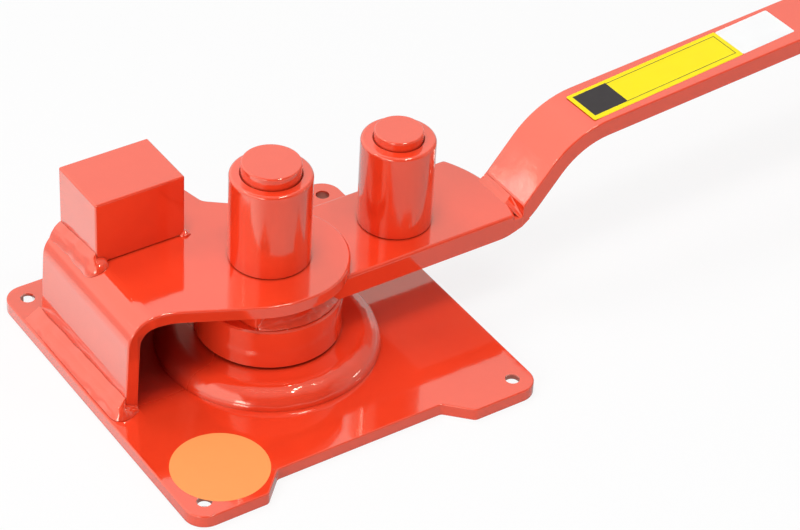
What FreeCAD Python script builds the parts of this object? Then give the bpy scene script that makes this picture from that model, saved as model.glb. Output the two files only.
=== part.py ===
import FreeCAD, Part
import math
import os

import Sketcher
from FreeCAD import Placement, Rotation, Vector

# Manual rebar bender.
# The frame stands on the bench at height zero, with the pivot on the vertical axis.
# The lever points along +X at rest, and the stop block stands on the +Y side.
# Every size is in millimetres, and every angle in degrees.

SIZES = {
    # Base plate
    "plate_side": 240,
    "plate_thickness": 8,
    "plate_corner_round": 13,
    "plate_edge_round": 0.8,
    "plate_hole_margin": 13,
    "plate_hole_diameter": 9,
    "plate_tab_length": 48,
    "plate_recess_depth": 15,
    "plate_tab_round": 4,
    # Flange under the hub
    "flange_diameter": 138,
    "flange_height": 12,
    "flange_rim_height": 2,
    "flange_flat_diameter": 108,
    "flange_band_turn": 44,
    # Centre shaft, turned in steps
    "spigot_diameter": 30,
    "journal_diameter": 40,
    "former_pin_diameter": 36,
    "former_pin_proud": 8,
    "pin_edge_round": 1,
    "weld_groove": 4,
    # Thrust washer, hub and bush
    "washer_thickness": 1,
    "washer_diameter": 84,
    "hub_diameter": 90,
    "hub_height": 27.5,
    "hub_edge": 1,
    "bush_wall": 5,
    "running_clearance": 0.05,
    "bore_clearance": 0.3,
    # Lever plate
    "lever_plate_width": 70.5,
    "lever_plate_thickness": 15,
    "lever_plate_shift": 2.6,
    "lever_plate_reach": 162.5,
    "lever_plate_tail": 34.5,
    "lever_plate_end_radius": 80,
    "lever_plate_end_shift": 3,
    "lever_plate_corner_round": 3,
    "lever_plate_edge_round": 2,
    # Bending pin and the two loose sleeves
    "bending_pin_reach": 91,
    "bending_pin_diameter": 30,
    "bending_pin_spigot": 22,
    "bending_pin_proud": 6,
    "former_sleeve_diameter": 50,
    "former_sleeve_height": 60,
    "bending_sleeve_diameter": 46,
    "bending_sleeve_height": 60,
    "sleeve_edge_round": 2,
    "sleeve_foot_edge": 0.8,
    "sleeve_bore_edge": 0.8,
    # Bracket over the lever, bent from one plate
    "bracket_gap": 0.5,
    "bracket_thickness": 8,
    "bracket_bend_radius": 10,
    "bracket_leg_margin": 14,
    "bracket_lean_angle": 3,
    "bracket_leg_near": 18,
    "bracket_leg_far": 87,
    "bracket_end_radius": 47.5,
    "bracket_end_shift": 1,
    "bracket_near_straight": 26.5,
    "bracket_near_end": 17.1,
    "bracket_far_angle": 37.5,
    "bracket_notch_reach": 7.5,
    "bracket_corner_reach": 12,
    "bracket_near_round": 37,
    "bracket_end_blend": 60,
    "bracket_notch_round": 8,
    "bracket_corner_round": 5,
    "bracket_edge_round": 1.2,
    # Web that closes the bracket's far end
    "web_inset": 3,
    "web_margin": 6,
    # Stop block
    "block_length": 60,
    "block_width": 45,
    "block_height": 43,
    "block_leg_gap": 12.5,
    "block_edge_round": 1.2,
    "block_foot_bevel": 0.8,
    # Lever bar, bent from flat stock
    "bar_width": 41.5,
    "bar_thickness": 12,
    "bar_root_gap": 0.5,
    "bar_lower_bend": 30,
    "bar_upper_bend": 54,
    "bar_bend_set_back": 3,
    "bar_rise": 49.6,
    "bar_incline_angle": 50,
    "bar_slope_angle": 3.9,
    "bar_reach": 880,
    "bar_tip_round": 20,
    "bar_edge_round": 1,
    # Weld beads
    "foot_weld_height": 13,
    "foot_weld_width": 11,
    "foot_weld_near_wrap": 8,
    "foot_weld_far_wrap": 3,
    "foot_weld_corner_round": 5,
    "block_bead_near_rise": 9.5,
    "block_bead_near_run": 8.5,
    "block_bead_far_rise": 4,
    "block_bead_far_run": 7.5,
    "block_bead_turn": 30,
    "block_bead_end": 8,
    "block_blob": 3.5,
    "web_weld_leg": 5,
    "hub_weld_height": 11,
    "bar_weld_toe": 5.5,
    "bar_weld_lap": 1,
    "bar_weld_cap": 3.5,
    "bar_weld_bulge": 0.4,
    "bar_weld_pit": 4.5,
}

# Two lengths nearer than this are the same
TOUCH = 0.01


class Value:
    """A number together with its formula in the cells of the sheet."""

    def __init__(self, number, formula):
        self.number = float(number)
        self.formula = formula

    @staticmethod
    def of(other):
        """Gives a plain number as a value."""
        return other if isinstance(other, Value) else Value(other, repr(float(other)))

    def joined(self, other, sign, number):
        """Gives the value of self and other joined by an arithmetic sign."""
        return Value(number, f"({self.formula} {sign} {other.formula})")

    def __add__(self, other):
        other = Value.of(other)
        return self.joined(other, "+", self.number + other.number)

    def __radd__(self, other):
        return Value.of(other) + self

    def __sub__(self, other):
        other = Value.of(other)
        return self.joined(other, "-", self.number - other.number)

    def __rsub__(self, other):
        return Value.of(other) - self

    def __mul__(self, other):
        other = Value.of(other)
        return self.joined(other, "*", self.number * other.number)

    def __rmul__(self, other):
        return Value.of(other) * self

    def __truediv__(self, other):
        other = Value.of(other)
        return self.joined(other, "/", self.number / other.number)

    def __neg__(self):
        return Value.of(0) - self


def sine(angle):
    """Gives the sine of an angle in degrees."""
    return Value(math.sin(math.radians(angle.number)), f"sin({angle.formula})")


def cosine(angle):
    """Gives the cosine of an angle in degrees."""
    return Value(math.cos(math.radians(angle.number)), f"cos({angle.formula})")


def tangent(angle):
    """Gives the tangent of an angle in degrees."""
    return Value(math.tan(math.radians(angle.number)), f"tan({angle.formula})")


def root(value):
    """Gives the square root of a value."""
    return Value(math.sqrt(value.number), f"sqrt({value.formula})")


doc = FreeCAD.newDocument("rebar_bender")
sheet = doc.addObject("Spreadsheet::Sheet", "Sizes")
for row, (alias, number) in enumerate(SIZES.items(), start=1):
    sheet.set(f"A{row}", alias)
    sheet.set(f"B{row}", str(number))
    sheet.setAlias(f"B{row}", alias)
doc.recompute()


def size(alias):
    """Gives the value of one cell of the sheet."""
    return Value(sheet.get(alias), f"Sizes.{alias}")


def bind(thing, prop, value):
    """Sets a property and binds it to the value's formula."""
    value = Value.of(value)
    setattr(thing, prop, value.number)
    thing.setExpression(prop, value.formula)


def bind_place(thing, x=0, y=0, z=0):
    """Binds the three coordinates of an object's place."""
    for axis, value in (("x", x), ("y", y), ("z", z)):
        thing.setExpression(f"Placement.Base.{axis}", Value.of(value).formula)


# Helpers for bodies and sketches

def new_body(label):
    """Starts a body with its own label."""
    body = doc.addObject("PartDesign::Body", label)
    body.Label = label
    return body


def plane(body, role):
    """Finds one of a body's own origin planes."""
    for feature in body.Origin.OriginFeatures:
        if feature.Role == role:
            return feature
    raise ValueError(f"no {role} in {body.Label}")


def new_sketch(body, name, role, height=None):
    """Starts a sketch on one of the body's origin planes, at a height above it."""
    sketch = body.newObject("Sketcher::SketchObject", name)
    sketch.AttachmentSupport = [(plane(body, role), "")]
    sketch.MapMode = "FlatFace"
    if height is not None:
        sketch.setExpression(".AttachmentOffset.Base.z", Value.of(height).formula)
    return sketch


def pin_point(sketch, geometry, end, x, y):
    """Ties one end of a piece of geometry to its two coordinates."""
    for value, kind, axis in ((x, "DistanceX", -2), (y, "DistanceY", -1)):
        value = Value.of(value)
        if value.number == 0:
            sketch.addConstraint(Sketcher.Constraint("PointOnObject", geometry, end, axis))
            continue
        index = sketch.addConstraint(Sketcher.Constraint(kind, -1, 1, geometry, end, value.number))
        sketch.setExpression(f"Constraints[{index}]", value.formula)


def arc_centre(start, stop, radius, turn):
    """Finds the centre of the short arc from start to stop, +1 turning left and -1 right."""
    chord = stop - start
    inset = math.sqrt(radius ** 2 - chord.Length ** 2 / 4)
    side = Vector(-chord.y, chord.x, 0).normalize()
    return (start + stop) * 0.5 + side * inset * turn


def draw_side(sketch, start, stop, bend):
    """Draws one side and gives its geometry number with its first and last end."""
    if bend is None:
        return sketch.addGeometry(Part.LineSegment(start, stop), False), 1, 2
    radius, turn = Value.of(bend[0]), bend[1]
    centre = arc_centre(start, stop, radius.number, turn)
    first, last = (start, stop) if turn > 0 else (stop, start)
    circle = Part.Circle(centre, Vector(0, 0, 1), radius.number)
    angles = [math.atan2(point.y - centre.y, point.x - centre.x) for point in (first, last)]
    index = sketch.addGeometry(Part.ArcOfCircle(circle, *angles), False)
    bound = sketch.addConstraint(Sketcher.Constraint("Radius", index, radius.number))
    sketch.setExpression(f"Constraints[{bound}]", radius.formula)
    return (index, 1, 2) if turn > 0 else (index, 2, 1)


def draw_outline(sketch, corners, arcs=None, closed=True):
    """Draws an outline through corners that are tied to the sheet.

    arcs maps the number of a side to its radius and its turn, +1 left or -1 right.
    """
    arcs = arcs or {}
    points = [Vector(Value.of(x).number, Value.of(y).number, 0) for x, y in corners]
    count = len(points) if closed else len(points) - 1
    sides = [draw_side(sketch, points[side], points[(side + 1) % len(points)], arcs.get(side))
             for side in range(count)]
    for (index, _, last), (follower, first, _) in zip(sides, sides[1:] + sides[:1]):
        if closed or follower != sides[0][0]:
            sketch.addConstraint(Sketcher.Constraint("Coincident", index, last, follower, first))
    for (index, first, _), (x, y) in zip(sides, corners):
        pin_point(sketch, index, first, x, y)
    if not closed:
        pin_point(sketch, sides[-1][0], sides[-1][2], *corners[-1])


def draw_circle(sketch, x, y, radius):
    """Draws a circle whose centre and radius are tied to the sheet."""
    centre = Vector(Value.of(x).number, Value.of(y).number, 0)
    index = sketch.addGeometry(Part.Circle(centre, Vector(0, 0, 1), radius.number), False)
    pin_point(sketch, index, 3, x, y)
    bound = sketch.addConstraint(Sketcher.Constraint("Radius", index, radius.number))
    sketch.setExpression(f"Constraints[{bound}]", radius.formula)


def pad(body, sketch, length, midplane=False):
    """Pads a sketch by a length, to both sides with midplane."""
    feature = body.newObject("PartDesign::Pad", f"{sketch.Name}_pad")
    feature.Profile = sketch
    feature.Midplane = midplane
    bind(feature, "Length", length)
    doc.recompute()


def cut_through(body, sketch):
    """Cuts a sketch through the whole body, to both sides of its plane."""
    before = body.Shape.Volume
    feature = body.newObject("PartDesign::Pocket", f"{sketch.Name}_pocket")
    feature.Profile = sketch
    feature.Type = "ThroughAll"
    feature.Midplane = True
    doc.recompute()
    if not body.Shape.Volume < before:
        raise ValueError(f"{feature.Label} cuts nothing")


def loft_through(body, sections):
    """Lofts a body through its sketches."""
    doc.recompute()
    feature = body.newObject("PartDesign::AdditiveLoft", f"{body.Label}_loft")
    feature.Profile, feature.Sections = sections[0], sections[1:]
    doc.recompute()


def turned(label, profile, arcs=None):
    """Makes a turned piece from its half profile of radius and height pairs."""
    body = new_body(label)
    sketch = new_sketch(body, f"{label}_profile", "XZ_Plane")
    draw_outline(sketch, profile, arcs)
    feature = body.newObject("PartDesign::Revolution", f"{label}_turning")
    feature.Profile = sketch
    feature.ReferenceAxis = (sketch, ["V_Axis"])
    feature.Angle = 360
    doc.recompute()
    return body


def dress_edges(body, kind, label, prop, width, chosen):
    """Dresses the body's edges that the chosen test accepts, as a fillet or a chamfer."""
    doc.recompute()
    carrier = body.Tip
    names = [f"Edge{number}" for number, edge in enumerate(carrier.Shape.Edges, start=1) if chosen(edge)]
    if not names:
        raise ValueError(f"{label} finds no edge")
    feature = body.newObject(kind, label)
    feature.Base = (carrier, names)
    bind(feature, prop, width)
    doc.recompute()


def round_edges(body, label, radius, chosen):
    """Rounds the edges that the chosen test accepts."""
    dress_edges(body, "PartDesign::Fillet", label, "Radius", radius, chosen)


def bevel_edges(body, label, width, chosen):
    """Bevels the edges that the chosen test accepts."""
    dress_edges(body, "PartDesign::Chamfer", label, "Size", width, chosen)


def near(first, second):
    """Tells if two lengths agree closely."""
    return abs(first - second) < TOUCH


def upright(edge):
    """Tells if an edge is a straight line along Z."""
    ends = [vertex.Point for vertex in edge.Vertexes]
    if len(ends) != 2:
        return False
    return near(ends[0].x, ends[1].x) and near(ends[0].y, ends[1].y)


def stands_at(edge, x, y):
    """Tells if an upright edge stands at a place in plan."""
    point = edge.Vertexes[0].Point
    return upright(edge) and near(point.x, x) and near(point.y, y)


def level_at(edge, height):
    """Tells if an edge lies level at a height."""
    box = edge.BoundBox
    return near(box.ZMin, height) and near(box.ZMax, height)


def is_bore(edge, diameters):
    """Tells if an edge is a whole circle of one of the diameters."""
    box = edge.BoundBox
    return len(edge.Vertexes) == 1 and any(near(box.XLength, wide) for wide in diameters)


# Heights and places that several pieces share

plate_top = size("plate_thickness")
flange_top = plate_top + size("flange_height")
hub_bottom = flange_top + size("washer_thickness")
lever_bottom = hub_bottom + size("hub_height")
lever_top = lever_bottom + size("lever_plate_thickness")
bracket_bottom = lever_top + size("bracket_gap")
bracket_top = bracket_bottom + size("bracket_thickness")
former_top = bracket_top + size("former_sleeve_height")
bending_top = lever_top + size("bending_sleeve_height")
lever_near = size("lever_plate_shift") - size("lever_plate_width") / 2
lever_far = size("lever_plate_shift") + size("lever_plate_width") / 2
journal_radius = size("journal_diameter") / 2
pivot_bore = journal_radius + size("bore_clearance")


# Base plate with four holes and a recess in its near and far edges

def build_base_plate():
    """Makes the base plate."""
    half = size("plate_side") / 2
    tab = half - size("plate_tab_length")
    depth = size("plate_recess_depth")
    floor = tab - depth
    inner = half - depth
    body = new_body("base_plate")
    outline = new_sketch(body, "plate_outline", "XY_Plane")
    draw_outline(outline, [
        (-half, -half), (-tab, -half), (-floor, -inner), (floor, -inner), (tab, -half), (half, -half),
        (half, half), (tab, half), (floor, inner), (-floor, inner), (-tab, half), (-half, half),
    ])
    pad(body, outline, size("plate_thickness"))
    holes = new_sketch(body, "plate_holes", "XY_Plane")
    place = half - size("plate_hole_margin")
    for x in (-place, place):
        for y in (-place, place):
            draw_circle(holes, x, y, size("plate_hole_diameter") / 2)
    draw_circle(holes, 0, 0, size("spigot_diameter") / 2)
    cut_through(body, holes)
    corner = half.number
    round_edges(body, "plate_corners", size("plate_corner_round"), lambda edge: any(
        stands_at(edge, x, y) for x in (-corner, corner) for y in (-corner, corner)))
    bends = [(tab.number, corner), (floor.number, inner.number)]
    round_edges(body, "plate_tabs", size("plate_tab_round"), lambda edge: any(
        stands_at(edge, x * across, y * along)
        for x, y in bends for across in (-1, 1) for along in (-1, 1)))
    bores = [size("plate_hole_diameter").number, size("spigot_diameter").number]
    round_edges(body, "plate_rim", size("plate_edge_round"), lambda edge: (
        level_at(edge, plate_top.number) and not is_bore(edge, bores)))
    bevel_edges(body, "plate_weld_groove", size("weld_groove"), lambda edge: (
        level_at(edge, 0) and is_bore(edge, bores[1:])))
    return body


# Flange disc with a flat face for the hub and a broad band, swelling like a weld

def build_flange():
    """Makes the flange disc."""
    bore = size("spigot_diameter") / 2
    outer = size("flange_diameter") / 2
    flat = size("flange_flat_diameter") / 2
    rim = plate_top + size("flange_rim_height")
    run, rise = outer - flat, flange_top - rim
    band = root(run * run + rise * rise) / (2 * sine(size("flange_band_turn")))
    return turned("flange_disc", [
        (bore, plate_top), (outer, plate_top), (outer, rim), (flat, flange_top), (bore, flange_top),
    ], {2: (band, 1)})


# Centre shaft: spigot in the plate, journal in the bush, pin for the former sleeve

def build_centre_shaft():
    """Makes the centre shaft."""
    spigot = size("spigot_diameter") / 2
    pin = size("former_pin_diameter") / 2
    edge = size("pin_edge_round")
    tip = former_top + size("former_pin_proud")
    return turned("centre_shaft", [
        (0, 0), (spigot, 0), (spigot, flange_top), (journal_radius, flange_top),
        (journal_radius, bracket_bottom), (pin, bracket_bottom), (pin, tip - edge), (pin - edge, tip),
        (0, tip),
    ], {6: (edge, 1)})


# Turning parts round the shaft

def build_washer():
    """Makes the thrust washer on the flange."""
    outer = size("washer_diameter") / 2
    return turned("thrust_washer", [
        (pivot_bore, flange_top), (outer, flange_top), (outer, hub_bottom), (pivot_bore, hub_bottom)])


def build_bush():
    """Makes the bush in the hub."""
    bore = journal_radius + size("running_clearance")
    outer = journal_radius + size("bush_wall")
    return turned("hub_bush", [
        (bore, hub_bottom), (outer, hub_bottom), (outer, lever_bottom), (bore, lever_bottom)])


def build_hub():
    """Makes the hub drum."""
    bore = journal_radius + size("bush_wall")
    outer = size("hub_diameter") / 2
    edge = size("hub_edge")
    return turned("hub_drum", [
        (bore, hub_bottom), (outer - edge, hub_bottom), (outer, hub_bottom + edge),
        (outer, lever_bottom - edge), (outer - edge, lever_bottom), (bore, lever_bottom)])


def build_sleeve(label, x, y, floor):
    """Makes a loose sleeve that turns on a pin."""
    bore = size(label.replace("sleeve", "pin_diameter")) / 2 + size("running_clearance")
    outer = size(f"{label}_diameter") / 2
    height = size(f"{label}_height")
    edge, foot = size("sleeve_edge_round"), size("sleeve_foot_edge")
    inner_edge = size("sleeve_bore_edge")
    body = turned(label, [
        (bore + inner_edge, 0), (outer - foot, 0), (outer, foot), (outer, height - edge),
        (outer - edge, height), (bore + inner_edge, height), (bore, height - inner_edge),
        (bore, inner_edge),
    ], {3: (edge, 1)})
    bind_place(body, x, y, floor)
    return body


# Lever plate, cut round at both ends and ground to the bar's curve underneath

bar_middle = lever_bottom + size("bar_thickness") / 2
bar_bend_place = size("lever_plate_reach") - size("bar_bend_set_back")
bar_bend_start = bar_bend_place - size("bar_lower_bend") * tangent(size("bar_incline_angle") / 2)
bar_outer_bend = size("bar_lower_bend") + size("bar_thickness") / 2
bar_inner_bend = size("bar_lower_bend") - size("bar_thickness") / 2
bar_bend_centre = lever_bottom + bar_outer_bend
bar_start = size("lever_plate_reach") + size("bar_root_gap")


def bend_height(radius, x):
    """Gives the height of one of the lower bend's arcs at a place along the lever."""
    run = x - bar_bend_start
    return bar_bend_centre - root(radius * radius - run * run)


def end_inset(across):
    """Gives how far a round end falls back at a distance from its middle."""
    radius = size("lever_plate_end_radius")
    return radius - root(radius * radius - across * across)


def build_lever_plate():
    """Makes the lever plate."""
    reach = size("lever_plate_reach")
    tail = size("lever_plate_tail")
    radius = size("lever_plate_end_radius")
    middle = -size("lever_plate_end_shift")
    spigot = size("bending_pin_spigot")
    body = new_body("lever_plate")
    outline = new_sketch(body, "lever_outline", "XY_Plane", lever_bottom)
    corners = [
        (end_inset(lever_near) - tail, lever_near),
        (reach - end_inset(lever_near - middle), lever_near),
        (reach - end_inset(lever_far - middle), lever_far),
        (end_inset(lever_far) - tail, lever_far),
    ]
    draw_outline(outline, corners, {1: (radius, 1), 3: (radius, 1)})
    pad(body, outline, size("lever_plate_thickness"))
    round_edges(body, "lever_corners", size("lever_plate_corner_round"), lambda edge: any(
        stands_at(edge, x.number, y.number) for x, y in corners))
    round_edges(body, "lever_rim", size("lever_plate_edge_round"), lambda edge: (
        level_at(edge, lever_top.number)))
    bores = new_sketch(body, "lever_bores", "XY_Plane")
    draw_circle(bores, 0, 0, pivot_bore)
    draw_circle(bores, size("bending_pin_reach"), size("lever_plate_shift"), spigot / 2)
    cut_through(body, bores)
    bevel_edges(body, "lever_weld_groove", size("weld_groove"), lambda edge: (
        level_at(edge, lever_bottom.number) and is_bore(edge, [spigot.number])))
    underside = new_sketch(body, "lever_underside", "XZ_Plane")
    lifted = bend_height(bar_outer_bend, bar_start)
    below = lever_bottom - size("bar_thickness")
    draw_outline(underside, [
        (bar_bend_start, lever_bottom), (bar_bend_start, below), (bar_start, below), (bar_start, lifted),
    ], {3: (bar_outer_bend, -1)})
    cut_through(body, underside)
    return body


# Bending pin with its spigot in the lever plate

def build_bending_pin():
    """Makes the bending pin."""
    spigot = size("bending_pin_spigot") / 2
    pin = size("bending_pin_diameter") / 2
    edge = size("pin_edge_round")
    tip = bending_top + size("bending_pin_proud")
    body = turned("bending_pin", [
        (0, lever_bottom), (spigot, lever_bottom), (spigot, lever_top), (pin, lever_top),
        (pin, tip - edge), (pin - edge, tip), (0, tip),
    ], {4: (edge, 1)})
    bind_place(body, size("bending_pin_reach"), size("lever_plate_shift"))
    return body


# Lever bar, swept along its double bend

def build_lever_bar():
    """Makes the lever bar."""
    thickness = size("bar_thickness")
    lower, upper = size("bar_lower_bend"), size("bar_upper_bend")
    incline, slope = size("bar_incline_angle"), size("bar_slope_angle")
    reach = size("bar_reach")
    knee_x = bar_bend_place + size("bar_rise") / tangent(incline)
    knee_z = bar_middle + size("bar_rise")
    back = upper * tangent((incline - slope) / 2)
    body = new_body("lever_bar")
    section = new_sketch(body, "bar_section", "YZ_Plane", bar_bend_start)
    corner = size("bar_edge_round")
    left, right = lever_near, lever_near + size("bar_width")
    low, high = lever_bottom, lever_bottom + thickness
    draw_outline(section, [
        (left + corner, low), (right - corner, low), (right, low + corner), (right, high - corner),
        (right - corner, high), (left + corner, high), (left, high - corner), (left, low + corner),
    ], {side: (corner, 1) for side in (1, 3, 5, 7)})
    path = new_sketch(body, "bar_path", "XZ_Plane")
    draw_outline(path, [
        (bar_bend_start, bar_middle),
        (bar_bend_start + lower * sine(incline), bar_middle + lower - lower * cosine(incline)),
        (knee_x - back * cosine(incline), knee_z - back * sine(incline)),
        (knee_x + back * cosine(slope), knee_z + back * sine(slope)),
        (reach, knee_z + (reach - knee_x) * tangent(slope)),
    ], {0: (lower, 1), 2: (upper, -1)}, closed=False)
    doc.recompute()
    pipe = body.newObject("PartDesign::AdditivePipe", "bar_sweep")
    pipe.Profile = section
    pipe.Spine = path
    doc.recompute()
    start = new_sketch(body, "bar_square_cut", "XZ_Plane")
    draw_outline(start, [
        (bar_bend_start - thickness, lever_bottom - thickness), (bar_start, lever_bottom - thickness),
        (bar_start, bar_bend_centre), (bar_bend_start - thickness, bar_bend_centre)])
    cut_through(body, start)
    tip = new_sketch(body, "bar_tip", "XY_Plane")
    turn = size("bar_tip_round")
    for edge, inward in ((left, 1), (right, -1)):
        draw_outline(tip, [
            (reach - turn, edge), (reach, edge + turn * inward),
            (reach + thickness, edge + turn * inward), (reach + thickness, edge - thickness * inward),
            (reach - turn, edge - thickness * inward),
        ], {0: (turn, inward)})
    cut_through(body, tip)
    return body


# Bracket, bent from one plate and cut to its outline

bend_inner = size("bracket_bend_radius")
bend_outer = bend_inner + size("bracket_thickness")
leg_reach = size("plate_side") / 2 - size("bracket_leg_margin")
bend_x = bend_outer * cosine(size("bracket_lean_angle")) - leg_reach
bend_z = bracket_bottom - bend_inner
bracket_bore = size("former_pin_diameter") / 2 + size("running_clearance")


def leg_face(radius, height):
    """Gives how far out a face of the leg stands at a height, from its bend radius."""
    lean = size("bracket_lean_angle")
    drop = bend_z + radius * sine(lean) - height
    return bend_x - radius * cosine(lean) - drop * tangent(lean)


def build_bracket():
    """Makes the bracket."""
    lean = size("bracket_lean_angle")
    far, close = size("bracket_leg_far"), size("bracket_leg_near")
    end, shift = size("bracket_end_radius"), size("bracket_end_shift")
    far_angle = size("bracket_far_angle")
    near_start, notch = leg_reach - size("bracket_near_straight"), size("bracket_notch_reach")
    end_start = size("bracket_near_end")
    turn_x = shift + end * sine(far_angle)
    turn_y = end * cosine(far_angle)
    notch_y = (turn_x + notch) * tangent(far_angle) + turn_y
    past = leg_reach * 2
    body = new_body("bracket")
    profile = new_sketch(body, "bracket_profile", "XZ_Plane")
    knee_outer = bend_z + bend_outer * sine(lean)
    knee_inner = bend_z + bend_inner * sine(lean)
    draw_outline(profile, [
        (leg_face(bend_outer, plate_top), plate_top), (leg_face(bend_outer, knee_outer), knee_outer),
        (bend_x, bracket_top), (past, bracket_top), (past, bracket_bottom), (bend_x, bracket_bottom),
        (leg_face(bend_inner, knee_inner), knee_inner), (leg_face(bend_inner, plate_top), plate_top),
    ], {1: (bend_outer, -1), 5: (bend_inner, 1)})
    pad(body, profile, past, midplane=True)
    trim = new_sketch(body, "bracket_trim", "XY_Plane")
    draw_outline(trim, [
        (-past, -close), (-near_start, -close), (-end_start, -end), (shift, -end), (turn_x, turn_y),
        (-notch, notch_y), (-size("bracket_corner_reach"), far), (-past, far),
    ], {3: (end, 1)})
    rim = past + size("bracket_thickness")
    draw_outline(trim, [(-rim, -rim), (rim, -rim), (rim, rim), (-rim, rim)])
    draw_circle(trim, 0, 0, bracket_bore)
    cut_through(body, trim)
    for label, x, y in (
            ("near_round", -near_start, -close),
            ("end_blend", -end_start, -end),
            ("notch_round", -notch, notch_y),
            ("corner_round", -size("bracket_corner_reach"), far)):
        round_edges(body, label, size(f"bracket_{label}"), lambda edge: (
            stands_at(edge, x.number, y.number)))
    bore = 2 * bracket_bore.number
    round_edges(body, "bracket_rim", size("bracket_edge_round"), lambda edge: (
        level_at(edge, bracket_top.number) and not is_bore(edge, [bore])
        and not near(edge.BoundBox.XLength, 0)))
    return body


# Web under the bracket's far end

web_far = size("bracket_leg_far") - size("web_inset")
web_left = leg_face(bend_inner, plate_top)
web_right = -size("bracket_corner_reach") - size("web_margin")


def build_web():
    """Makes the web that stands between the base plate and the bracket, its bend corner clipped."""
    knee = bend_z + bend_inner * sine(size("bracket_lean_angle"))
    body = new_body("bracket_web")
    profile = new_sketch(body, "web_profile", "XZ_Plane", -web_far)
    draw_outline(profile, [
        (web_left, plate_top), (web_right, plate_top), (web_right, bracket_bottom),
        (bend_x, bracket_bottom), (leg_face(bend_inner, knee), knee),
    ])
    pad(body, profile, size("bracket_thickness"))
    return body


def build_web_weld():
    """Makes the fillet weld along the far side of the web's foot."""
    leg = size("web_weld_leg")
    body = new_body("bracket_web_weld")
    profile = new_sketch(body, "web_weld_profile", "YZ_Plane", web_left + leg)
    draw_outline(profile, [(web_far, plate_top), (web_far + leg, plate_top), (web_far, plate_top + leg)])
    pad(body, profile, web_right - web_left - leg)
    return body


# Stop block on the bracket

block_left = size("block_leg_gap") - leg_reach
block_right = block_left + size("block_length")
block_near = size("bracket_leg_far") - size("block_width")


def build_stop_block():
    """Makes the stop block."""
    far = size("bracket_leg_far")
    body = new_body("stop_block")
    outline = new_sketch(body, "block_outline", "XY_Plane", bracket_top)
    draw_outline(outline, [
        (block_left, block_near), (block_right, block_near), (block_right, far), (block_left, far)])
    pad(body, outline, size("block_height"))
    round_edges(body, "block_edges", size("block_edge_round"), lambda edge: (
        not level_at(edge, bracket_top.number)))
    bevel_edges(body, "block_foot", size("block_foot_bevel"), lambda edge: (
        level_at(edge, bracket_top.number)))
    return body


# Welds: plain solids trimmed by the pieces that they join

def primitive(kind, label, **sizes):
    """Makes a plain solid whose sizes are bound to values."""
    solid = doc.addObject(kind, label)
    for prop, value in sizes.items():
        bind(solid, prop, value)
    return solid


def trimmed(label, solid, tools):
    """Cuts the pieces that a weld joins out of its plain solid."""
    for tool in tools:
        cut = doc.addObject("Part::Cut", f"{label}_trim")
        cut.Base = solid
        cut.Tool = tool
        solid = cut
    solid.Label = label
    return solid


def build_ring_weld(label, diameter, x=0, y=0, floor=0):
    """Makes the ring of weld that fills the groove under a spigot."""
    inner = size(diameter) / 2
    deep = size("weld_groove")
    body = turned(label, [(inner, 0), (inner + deep, 0), (inner, deep)])
    bind_place(body, x, y, floor)
    return body


def build_foot_weld(bracket):
    """Makes the weld along the outside of the bracket's foot and round both its ends."""
    rise = size("foot_weld_height")
    close, far = size("bracket_leg_near"), size("bracket_leg_far")
    inside, turn = leg_face(bend_inner, plate_top), size("foot_weld_corner_round")
    levels = [
        (plate_top, leg_face(bend_outer, plate_top) - size("foot_weld_width"),
         -close - size("foot_weld_near_wrap"), far + size("foot_weld_far_wrap")),
        (plate_top + rise, leg_face(bend_outer, plate_top + rise), -close, far),
    ]
    body = new_body("foot_weld_mass")
    sections = []
    for number, (height, outside, start, stop) in enumerate(levels):
        section = new_sketch(body, f"foot_weld_section_{number}", "XY_Plane", height)
        draw_outline(section, [
            (outside + turn, start), (inside, start), (inside, stop), (outside + turn, stop),
            (outside, stop - turn), (outside, start + turn),
        ], {3: (turn, 1), 5: (turn, 1)})
        sections.append(section)
    loft_through(body, sections)
    return trimmed("bracket_foot_weld", body, [bracket])


def joined(label, solids):
    """Fuses plain solids into one."""
    fused = doc.addObject("Part::MultiFuse", label)
    fused.Shapes = solids
    return fused


def bend_face(x):
    """Gives the height of the bracket's bend at a place left of its start."""
    return bend_z + root(bend_outer * bend_outer - (x - bend_x) * (x - bend_x))


def build_block_bead(block, bracket):
    """Makes the weld along the stop block's left bottom edge and round its near corner."""
    body = new_body("block_bead_run")
    within = bracket_top - size("bracket_thickness") / 2
    sections = []
    for end, place in (("near", block_near), ("far", size("bracket_leg_far"))):
        rise, run = size(f"block_bead_{end}_rise"), size(f"block_bead_{end}_run")
        crest, toe = bracket_top + rise, block_left - run
        drop = crest - bend_face(toe)
        bulge = root(run * run + drop * drop) / (2 * sine(size("block_bead_turn")))
        section = new_sketch(body, f"block_bead_{end}", "XZ_Plane", -place)
        draw_outline(section, [
            (toe, bend_face(toe)), (bend_x, within), (bend_x, crest), (block_left, crest),
        ], {3: (bulge, 1)})
        sections.append(section)
    loft_through(body, sections)
    ball = primitive("Part::Sphere", "block_bead_ball", Radius=size("block_bead_end"))
    bind_place(ball, block_left, block_near, bracket_top)
    return trimmed("stop_block_weld_left", joined("block_bead_mass", [body, ball]), [block, bracket])


def build_block_blob(block, bracket):
    """Makes the blob of weld at the stop block's near right bottom corner."""
    ball = primitive("Part::Sphere", "block_blob_ball", Radius=size("block_blob"))
    bind_place(ball, block_right, block_near, bracket_top)
    return trimmed("stop_block_weld_right", ball, [block, bracket])


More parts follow.
